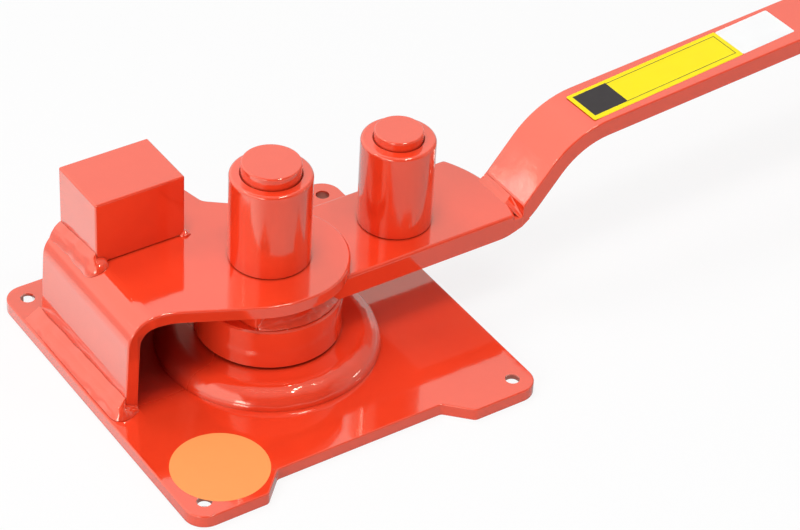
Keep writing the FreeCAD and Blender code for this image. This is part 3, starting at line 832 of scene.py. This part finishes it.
@dataclass
class Bead:
    """A weld bead laid between two faces, in passes with ripples, under paint.

    Args:
        node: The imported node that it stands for.
        swell: How far it bulges.
        passes: How many passes lie side by side.
        bias: Below 1, the passes near the inner toe are narrower.
        valley: How deep the line between two passes is.
        ripple: The height of the ripples.
        pitch: The distance between ripples.
        rough: The height of the irregular lumps.
        across: How many points span it.
        soft: How many times the mesh is smoothed.
        tuck: How far its toes dip into the faces.
        depth: How far behind the faces its hidden corner lies.
        inset: How far from the end of its node it starts.
        stray: How far the lines between its passes stray, as a share of its width.
        bow: How far the ripples bow along the bead, in pitches.
        grain: The height of the small lumps, as a share of the irregular ones.
        rise_wave: How its height over the faces varies.
        toe_wave: How its reach varies.
    """

    name: str
    node: str
    body: str
    swell: float = 1.5 * MM
    passes: int = 2
    bias: float = 1.0
    valley: float = 0.8 * MM
    ripple: float = 0.06 * MM
    pitch: float = 3.0 * MM
    rough: float = 0.5 * MM
    across: int = 30
    seed: float = 3.7
    finish: Finish = Finish.WELD
    soft: int = 3
    tuck: float = 0.3 * MM
    depth: float = 3 * MM
    inset: float = 0.5 * MM
    stray: float = 0.10
    stray_length: float = 14 * MM
    bow: float = 0.9
    grain: float = 0.15
    rise_wave: Wave = Wave(0.8 * MM, 7 * MM)
    toe_wave: Wave = Wave(0.8 * MM, 6 * MM)

    def stations(self) -> Iterator[Toe]:
        """Gives the bead's stations in order."""
        raise NotImplementedError

    def _ring(self, toe: Toe, run: float) -> list[Vector]:
        """Gives the closed outline of the bead at one station.

        Args:
            toe: The station.
            run: The distance along the bead.

        Returns:
            The points, from the inner toe over the face to the outer toe and back behind it.
        """
        reach = toe.outer - toe.inner
        middle = (toe.inner + toe.outer) / 2
        out = middle - toe.corner
        out = (out - reach * (out.dot(reach) / reach.length_squared)).normalized()
        points = []
        for share in steps(self.across):
            place = toe.inner + reach * share
            arch = math.sin(math.pi * share)
            spot = Vector((run, share * 3 * MM, 0))
            drift = self.stray * lump(spot, self.stray_length, self.seed)
            turn = math.pi * self.passes * (min(max(share + drift * arch, 0.0), 1.0) ** self.bias)
            lines = math.sqrt(math.sin(turn) ** 2 + 0.03) - 1.0
            crescent = math.sin(2 * math.pi * (run / self.pitch + self.bow * arch))
            height = self.swell * arch + self.valley * lines * arch ** 0.6
            height += self.ripple * crescent * arch
            height += self.rough * arch * lump(place, COARSE, self.seed)
            height += self.grain * self.rough * arch * lump(place, FINE, 2 * self.seed)
            points.append(place + out * height * toe.strength)
        return points + [toe.corner]

    def build(self, palette: Palette) -> bpy.types.Object:
        """Builds and dresses the bead in the place of its node.

        Args:
            palette: The materials.

        Returns:
            The object.
        """
        shell = Shell(self.name)
        run, last = 0.0, None
        for toe in self.stations():
            run += (toe.outer - last).length if last is not None else 0.0
            last = toe.outer
            shell.add(self._ring(toe, run))
        piece = shell.piece(soft=self.soft)
        palette.dress(piece, self.finish)
        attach(piece, self.body)
        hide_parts(self.node)
        return piece


@dataclass
class FootBead(Bead):
    """The weld along the bracket's foot, round its near corner and across its near end."""

    sink: float = 0.5 * MM
    low_rise: float = 6.5 * MM
    high_rise: float = 12.0 * MM
    end_rise: float = 6.5 * MM
    front_run: float = 6.0 * MM
    end_run: float = 2.5 * MM
    last_rise: float = 3.0 * MM
    near_wrap: float = 8.0 * MM
    end_reach: float = 8.2 * MM
    edge: float = 0.6 * MM
    lean: float = 0.052
    rise_wave: Wave = Wave(0.9 * MM, 9 * MM)
    toe_wave: Wave = Wave(0.5 * MM, 12 * MM)
    count: int = 110
    turn_count: int = 26
    end_count: int = 12

    def stations(self) -> Iterator[Toe]:
        """Gives the bead's stations in order.

        Yields:
            The stations.
        """
        low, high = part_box(self.node)
        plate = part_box("base_plate")[1].z
        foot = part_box("bracket")[0].x
        close = low.y + self.near_wrap
        width = foot - low.x
        for share in steps(self.count):
            y = mixed(high.y - self.inset, close, share)
            rise = mixed(self.low_rise, self.high_rise, share)
            rise += self.rise_wave.at((0, y, 0), self.seed)
            toe = low.x + self.tuck + abs(self.toe_wave.at((0, y, 1), self.seed))
            yield Toe(Vector((foot + self.sink + self.lean * rise, y, plate + rise)),
                      Vector((toe, y, plate - self.sink)),
                      Vector((foot + self.depth, y, plate - self.sink)), eased(8 * share + 0.1))
        for share in steps(self.turn_count)[1:]:
            angle = math.pi / 2 * share
            run = mixed(width - self.tuck, self.front_run, eased(share))
            rise = mixed(self.high_rise, self.end_rise, eased(share))
            way = Vector((-math.cos(angle), -math.sin(angle), 0))
            corner = Vector((foot + self.edge, close, plate))
            yield Toe(corner + Vector((self.tuck, self.tuck, rise)),
                      corner + way * run - Vector((0, 0, self.sink)),
                      corner + Vector((self.depth, self.depth, -self.sink)))
        for share in steps(self.end_count)[1:]:
            x = mixed(foot + self.edge, foot + self.end_reach, share)
            rise = mixed(self.end_rise, self.last_rise, eased(share))
            run = mixed(self.front_run, self.end_run, share)
            yield Toe(Vector((x, close + self.tuck, plate + rise)),
                      Vector((x, close - run, plate - self.sink)),
                      Vector((x, close + self.depth, plate - self.sink)), mixed(1.0, 0.3, share))


@dataclass
class BlockBead(Bead):
    """The weld along the stop block's left bottom edge and round its near corner."""

    far_rise: float = 4.0 * MM
    near_rise: float = 9.0 * MM
    run: float = 8.0 * MM
    wrap: float = 7.5 * MM
    end_share: float = 0.6
    inset: float = 0.2 * MM
    rise_wave: Wave = Wave(1.1 * MM, 8 * MM)
    toe_wave: Wave = Wave(1.2 * MM, 10 * MM)
    count: int = 60
    turn_count: int = 22
    end_count: int = 12

    def stations(self) -> Iterator[Toe]:
        """Gives the bead's stations in order.

        Yields:
            The stations.
        """
        ground = Ground(bpy.data.objects["bracket"])
        low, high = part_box("stop_block")
        dip = Vector((0, 0, self.tuck))
        for share in steps(self.count):
            y = mixed(high.y - self.inset, low.y, share)
            rise = mixed(self.far_rise, self.near_rise, share ** 0.8)
            rise += self.rise_wave.at((0, y, 0), self.seed)
            reach = self.run + self.toe_wave.at((0, y, 3), self.seed)
            yield Toe(Vector((low.x + self.tuck, y, low.z + rise)),
                      ground.below(low.x - reach, y) - dip,
                      Vector((low.x + self.depth, y, low.z - self.depth)))
        for share in steps(self.turn_count)[1:]:
            angle = math.pi / 2 * share
            reach = mixed(self.run, self.wrap, share)
            rise = mixed(self.near_rise, self.end_share * self.near_rise, share)
            corner = Vector((low.x, low.y, low.z))
            toe = ground.below(low.x - math.cos(angle) * reach, low.y - math.sin(angle) * reach)
            yield Toe(corner + Vector((self.tuck, self.tuck, rise)), toe - dip,
                      corner + Vector((self.depth, self.depth, -self.depth)))
        for share in steps(self.end_count)[1:]:
            x = mixed(low.x, low.x + self.wrap, share)
            fade = math.sqrt(max(1.0 - share * share, 0.02))
            rise = self.end_share * self.near_rise * fade
            yield Toe(Vector((x, low.y + self.tuck, low.z + rise)),
                      ground.below(x, low.y - self.wrap * fade) - dip,
                      Vector((x, low.y + self.depth, low.z - self.depth)), fade)


@dataclass
class HubBead(Bead):
    """The weld between the hub's rim and one long side of the lever plate."""

    side: int = -1
    start: float = -27.6 * MM
    stop: float = 30.0 * MM
    rise: float = 10.0 * MM
    rim: float = 1.2 * MM
    least: float = 0.8 * MM
    count: int = 80

    def stations(self) -> Iterator[Toe]:
        """Gives the bead's stations in order.

        Yields:
            The stations.
        """
        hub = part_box("hub_drum")[1]
        low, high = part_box("lever_plate")
        wall = low.y if self.side < 0 else high.y
        rim = hub.x - self.rim
        for share in steps(self.count):
            x = mixed(self.start, self.stop, share)
            edge = self.side * math.sqrt(rim * rim - x * x)
            edge -= self.side * abs(self.toe_wave.at((x, 0, 0), self.seed))
            rise = min(self.rise, 1.1 * abs(edge - wall) + 1.0 * MM)
            rise += self.rise_wave.at((x, 1, 0), self.seed)
            fade = eased(20 * share + 0.3) * eased(6 * (1.0 - share))
            top = hub.z + max(rise, self.least)
            yield Toe(Vector((x, wall - self.side * self.tuck, top)),
                      Vector((x, edge, hub.z - self.tuck)),
                      Vector((x, wall - self.side * self.depth, hub.z - self.tuck)),
                      mixed(0.3, 1.0, fade))


@dataclass
class BarBead(Bead):
    """The weld over the joint of the lever plate and the bar, sunk into a pit at the near side."""

    inset: float = 0.1 * MM
    rise_wave: Wave = Wave(0.4 * MM, 5 * MM)
    toe_wave: Wave = Wave(0.5 * MM, 7 * MM)
    count: int = 90
    pit: float = 15.0 * MM
    dip: float = 3.4 * MM
    inner: Span = (-0.2 * MM, -0.8 * MM)
    outer: Span = (0.4 * MM, -0.25 * MM)
    sunk_inner: Place = (1.2 * MM, 0.0, 0.6 * MM)
    sunk_outer: Place = (-3.0 * MM, 0.0, 0.0)
    skin: float = 0.03 * MM
    root: float = 0.4 * MM
    patch: Span = (154.0 * MM, 163.6 * MM)
    patch_depth: float = 4.0 * MM
    patch_gap: float = 0.05 * MM
    patch_steps: int = 12

    def stations(self) -> Iterator[Toe]:
        """Gives the bead's stations in order.

        Yields:
            The stations.
        """
        low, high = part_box(self.node)
        near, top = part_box("lever_plate")[0].y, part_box("lever_plate")[1].z
        for share in steps(self.count):
            y = mixed(high.y - self.inset, near + self.skin, share)
            sunk = min(max((near + self.pit - y) / self.pit, 0.0), 1.0) ** 1.4
            back = self.toe_wave.at((0, y, 0), self.seed)
            bulge = self.rise_wave.at((0, y, 4), self.seed)
            inner = Vector((high.x + self.inner[0] + back, y, high.z + self.inner[1] + bulge))
            outer = Vector((low.x + self.outer[0] - back, y, top + self.outer[1]))
            root = Vector((self.patch[1] - self.root, y, top - self.dip))
            inner = inner.lerp(root + Vector(self.sunk_inner), sunk)
            outer = outer.lerp(root + Vector(self.sunk_outer), sunk)
            yield Toe(inner, outer, Vector((root.x, y, low.z)), eased(12 * share + 0.4))

    def build(self, palette: Palette) -> list[bpy.types.Object]:
        """Builds the bead, and the ground-flush weld that closes the joint on the near side.

        Args:
            palette: The materials.

        Returns:
            The two objects.
        """
        bead = super().build(palette)
        near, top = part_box("lever_plate")[0].y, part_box("lever_plate")[1].z - self.dip
        names = ("lever_plate", "bar_weld_root", "lever_bar")
        under = [Ground(bpy.data.objects[name]) for name in names]
        inside = near + self.patch_depth
        shell = Shell("bar_weld_patch")
        for share in steps(self.patch_steps):
            x = mixed(*self.patch, share)
            spots = [ground.above(x, inside) for ground in under]
            foot = min(spot.z for spot in spots if spot is not None) + self.patch_gap
            face = near + self.skin
            corners = ((face, foot), (face, top), (inside, top), (inside, foot))
            shell.add([Vector((x, y, z)) for y, z in corners])
        patch = shell.piece()
        palette.dress(patch, Finish.PAINT)
        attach(patch, self.body)
        return [bead, patch]


@dataclass
class Blob:
    """A drop of weld at a corner: a sphere's mesh pushed out of round by noise."""

    name: str
    node: str
    body: str
    radius: float = 3.4 * MM
    stretch: Place = (1.0, 0.9, 0.75)
    rough: float = 0.35
    wide: float = 0.8
    sink: float = 0.5 * MM
    seed: float = 9.1

    def build(self, palette: Palette) -> bpy.types.Object:
        """Builds and dresses the drop in the place of its node.

        Args:
            palette: The materials.

        Returns:
            The object.
        """
        low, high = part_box("stop_block")
        middle = Vector((high.x, low.y, low.z))
        bm = bmesh.new()
        bmesh.ops.create_icosphere(bm, subdivisions=4, radius=1.0)
        for vert in bm.verts:
            swell = 1.0 + self.rough * lump(vert.co, self.wide, self.seed)
            local = Vector(part * scale for part, scale in zip(vert.co, self.stretch))
            vert.co = middle + local * (self.radius * swell)
            vert.co.z = max(vert.co.z, low.z - self.sink)
        piece = finished(self.name, bm)
        palette.dress(piece, Finish.WELD)
        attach(piece, self.body)
        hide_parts(self.node)
        return piece


@dataclass
class FlangeDisc:
    """The turned flange under the hub, with a lumpy, painted-over weld as its outer band."""

    turns: int = 300
    band_points: int = 22
    rim: float = 2.0 * MM
    flat: float = 54.0 * MM
    turn: float = math.radians(44.0)
    rough: float = 0.35 * MM
    bore: float = 15.0 * MM
    seat: float = 49.0 * MM

    def _profile(self) -> list[Place]:
        """Gives the half profile.

        Returns:
            Each point's radius, height and how lumpy it is there.
        """
        low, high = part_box("flange_disc")
        outer, rim = high.x, low.z + self.rim
        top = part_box("thrust_washer")[0].z
        chord = Vector((self.flat - outer, top - rim))
        radius = chord.length / 2 / math.sin(self.turn)
        heading = math.atan2(chord.y, chord.x) - self.turn
        centre = Vector((outer, rim)) + radius * Vector((-math.sin(heading), math.cos(heading)))
        points = [(self.bore, top, 0.0), (self.bore, low.z, 0.0), (outer, low.z, 0.0)]
        for share in steps(self.band_points):
            angle = heading - math.pi / 2 + 2 * self.turn * share
            points.append((centre.x + radius * math.cos(angle), centre.y + radius * math.sin(angle),
                           math.sin(math.pi * share)))
        return points + [(self.seat, top, 0.0)]

    def build(self, palette: Palette) -> bpy.types.Object:
        """Builds and dresses the disc in the place of its node.

        Args:
            palette: The materials.

        Returns:
            The object.
        """
        profile = self._profile()
        shell = Shell("flange_disc_cast")
        for number in range(self.turns):
            angle = 2 * math.pi * number / self.turns
            cos, sin = math.cos(angle), math.sin(angle)
            ring = []
            for radius, height, loose in profile:
                place = Vector((radius * cos, radius * sin, height))
                push = self.rough * loose * (lump(place, COARSE, 5.3) - 0.4)
                push += 0.25 * self.rough * loose * lump(place, FINE, 8.8)
                wide = radius + push
                ring.append(Vector((wide * cos, wide * sin, height + 0.6 * push)))
            shell.add(ring)
        piece = shell.piece(closed=True)
        palette.dress(piece, Finish.FRAME_WELD)
        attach(piece, "base")
        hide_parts("flange_disc")
        return piece


@dataclass
class BoreWalls:
    """The bare lower walls of three drilled holes in the base plate, below the paint in the mouth.

    Args:
        holes: For each hole, its side in X and Y, how deep the paint reaches, and the bare wall's
            start and end in degrees.
    """

    holes: tuple[tuple[int, int, float, float, float], ...] = (
        (-1, 1, 2.0 * MM, -80.0, 100.0),
        (-1, -1, 3.9 * MM, -180.0, 180.0),
        (1, -1, 3.9 * MM, -180.0, 180.0))
    margin: float = 13.0 * MM
    radius: float = 4.5 * MM
    wall: float = 0.04 * MM
    seat: float = 0.02 * MM
    floor: float = 0.3 * MM
    turns: int = 64

    def build(self, palette: Palette) -> list[bpy.types.Object]:
        """Builds and dresses the walls.

        Args:
            palette: The materials.

        Returns:
            The objects.
        """
        low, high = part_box("base_plate")
        reach = high.x - self.margin
        made = []
        for number, (side_x, side_y, paint, start, stop) in enumerate(self.holes):
            shell = Shell(f"bore_wall_{number}")
            place = Vector((side_x * reach, side_y * reach, 0))
            foot, rim = Vector((0, 0, low.z + self.floor)), Vector((0, 0, high.z - paint))
            for share in steps(self.turns + 1):
                angle = math.radians(mixed(start, stop, share))
                way = Vector((math.cos(angle), math.sin(angle), 0))
                inner = place + way * (self.radius - self.wall)
                outer = place + way * (self.radius + self.seat)
                shell.add([inner + foot, inner + rim, outer + rim, outer + foot])
            piece = shell.piece()
            palette.dress(piece, Finish.BORE)
            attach(piece, "base")
            made.append(piece)
        return made


# Stickers

@dataclass
class Sheet:
    """The plane of a face that thin film is laid on.

    Args:
        origin: A point of the plane.
        along: Its first direction.
        across: Its second direction.
        thickness: The film's thickness, in metres.
        gap: How far the film lies off the face, in thicknesses.
        overlap: How much higher each further film lies, in thicknesses.
    """

    origin: Vector
    along: Vector
    across: Vector
    thickness: float = 0.12 * MM
    gap: float = 0.02
    overlap: float = 0.5

    def point(self, along: float, across: float, lift: float) -> Vector:
        """Gives a point of the sheet's plane, lifted off it."""
        up = self.along.cross(self.across).normalized()
        return self.origin + self.along * along + self.across * across + up * lift

    def cut(self, name: str, outline: Sequence[Span], body: str, finish: Finish, palette: Palette,
            layer: int = 0) -> bpy.types.Object:
        """Cuts a piece of film and lays it down.

        Args:
            name: The piece's name.
            outline: Its corners in the plane, in order.
            body: The body that it rides on.
            finish: Its finish.
            palette: The materials.
            layer: How many films lie under it.

        Returns:
            The object.
        """
        shell = Shell(name)
        for share in (self.gap, 1.0):
            lift = (share + self.overlap * layer) * self.thickness
            shell.add([self.point(*spot, lift) for spot in outline])
        piece = shell.piece(sharp=30.0)
        palette.dress(piece, finish)
        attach(piece, body)
        return piece


def rounded_box(low: Span, high: Span, corner: float, points: int = 6) -> list[Span]:
    """Gives the outline of a box with round corners.

    Args:
        low: Its lowest corner.
        high: Its highest corner.
        corner: The radius of its corners.
        points: How many points each corner gets.

    Returns:
        The outline's points.
    """
    outline = []
    corners = ((high[0], low[1]), high, (low[0], high[1]), low)
    for number, (x, y) in enumerate(corners):
        centre_x = x - math.copysign(corner, x - low[0] - corner)
        centre_y = y - math.copysign(corner, y - low[1] - corner)
        for share in steps(points):
            angle = math.pi / 2 * (number - 1 + share)
            outline.append((centre_x + corner * math.cos(angle),
                            centre_y + corner * math.sin(angle)))
    return outline


@dataclass
class Stickers:
    """The round sticker on the base plate, and the films and the print on the lever bar."""

    round_place: Span = (-84.4 * MM, -86.3 * MM)
    round_radius: float = 29.3 * MM
    round_points: int = 120
    strip: Span = (216.5 * MM, -27.8 * MM)
    skew: float = math.radians(1.5)
    yellow: Box = (0.0, 0.0, 118.8 * MM, 29.4 * MM)
    charcoal: Box = (3.2 * MM, 3.8 * MM, 28.8 * MM, 26.8 * MM)
    border: Box = (28.8 * MM, 3.7 * MM, 115.8 * MM, 26.2 * MM)
    white: Box = (118.9 * MM, 0.2 * MM, 161.4 * MM, 28.8 * MM)
    line: float = 0.45 * MM
    corner: float = 1.2 * MM
    print_corner: float = 0.2 * MM
    straight: Span = (0.25, 0.36)

    def _bar_sheet(self) -> Sheet:
        """Gives the plane of the lever bar's straight top, turned with the strip askew on it.

        Returns:
            The plane, with the strip's near left corner as its origin.
        """
        ground = Ground(bpy.data.objects["lever_bar"])
        first, last = [ground.below(x, 0.0) for x in self.straight]
        along = (last - first).normalized()
        origin = first - along * (first.x / along.x)
        across = Vector((0, 1, 0))
        straight = Sheet(Vector((origin.x, 0.0, origin.z)), along, across)
        turned = along * math.cos(self.skew) + across * math.sin(self.skew)
        beside = across * math.cos(self.skew) - along * math.sin(self.skew)
        return Sheet(straight.point(*self.strip, 0.0), turned, beside)

    def build(self, palette: Palette) -> list[bpy.types.Object]:
        """Builds and dresses the stickers.

        Args:
            palette: The materials.

        Returns:
            The objects.
        """
        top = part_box("base_plate")[1].z
        plate = Sheet(Vector((*self.round_place, top)), Vector((1, 0, 0)), Vector((0, 1, 0)))
        circle = [(self.round_radius * math.cos(2 * math.pi * number / self.round_points),
                   self.round_radius * math.sin(2 * math.pi * number / self.round_points))
                  for number in range(self.round_points)]
        made = [plate.cut("round_sticker", circle, "base", Finish.ORANGE, palette)]
        made[0].visible_glossy = False
        bar = self._bar_sheet()
        for name, box, finish, layer in (
                ("yellow_sticker", self.yellow, Finish.YELLOW, 0),
                ("white_sticker", self.white, Finish.WHITE, 0),
                ("charcoal_panel", self.charcoal, Finish.CHARCOAL, 1)):
            corner = self.print_corner if layer else self.corner
            outline = rounded_box(box[:2], box[2:], corner)
            made.append(bar.cut(name, outline, "lever", finish, palette, layer))
        left, low, right, high = self.border
        for side, (x0, y0, x1, y1) in enumerate((
                (left, low, right, low + self.line), (left, high - self.line, right, high),
                (right - self.line, low, right, high))):
            outline = [(x0, y0), (x1, y0), (x1, y1), (x0, y1)]
            name = f"border_line_{side}"
            made.append(bar.cut(name, outline, "lever", Finish.CHARCOAL, palette, 1))
        return made


# The whole bender

NODE_FINISHES = {
    "base_plate": Finish.FRAME, "bracket": Finish.FRAME, "bracket_web": Finish.FRAME,
    "bracket_web_weld": Finish.FRAME_WELD,
    "thrust_washer": Finish.STEEL, "hub_bush": Finish.BRONZE, "former_sleeve": Finish.ROUND,
    "bending_sleeve": Finish.ROUND, "hub_drum": Finish.ROUND, "bar_weld_root": Finish.WELD,
    "shaft_foot_weld": Finish.WELD, "bending_pin_weld": Finish.WELD,
}


def main() -> None:
    """Builds the scene and reports each piece."""
    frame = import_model()
    palette = Palette()
    for name, node in frame["nodes"].items():
        palette.dress(node, NODE_FINISHES.get(name, Finish.PAINT))
    parts = [
        FlangeDisc(),
        FootBead("foot_weld_bead", "bracket_foot_weld", "base", valley=0.5 * MM, bias=0.72),
        BlockBead("block_weld_bead", "stop_block_weld_left", "base", valley=0.25 * MM, seed=1.9),
        Blob("block_weld_drop", "stop_block_weld_right", "base"),
        HubBead("hub_weld_bead_near", "hub_weld_near", "lever", swell=0.7 * MM, valley=0.4 * MM,
                rough=1.1 * MM, seed=6.2),
        HubBead("hub_weld_bead_far", "hub_weld_far", "lever", swell=0.5 * MM, seed=7.4, side=1,
                start=-21 * MM, stop=21 * MM, rise=5.5 * MM),
        BarBead("bar_weld_bead", "bar_weld_top", "lever", swell=-0.4 * MM, valley=0.40 * MM,
                rough=0.25 * MM, ripple=0.0, seed=4.4, finish=Finish.PAINT),
        BoreWalls(),
        Stickers(),
    ]
    for part in parts:
        made = part.build(palette)
        for piece in made if isinstance(made, list) else [made]:
            LOG.info("%s: %d faces", piece.name, len(piece.data.polygons))
    Studio().build()
    PhotoCamera().build()


if __name__ == "__main__":
    main()
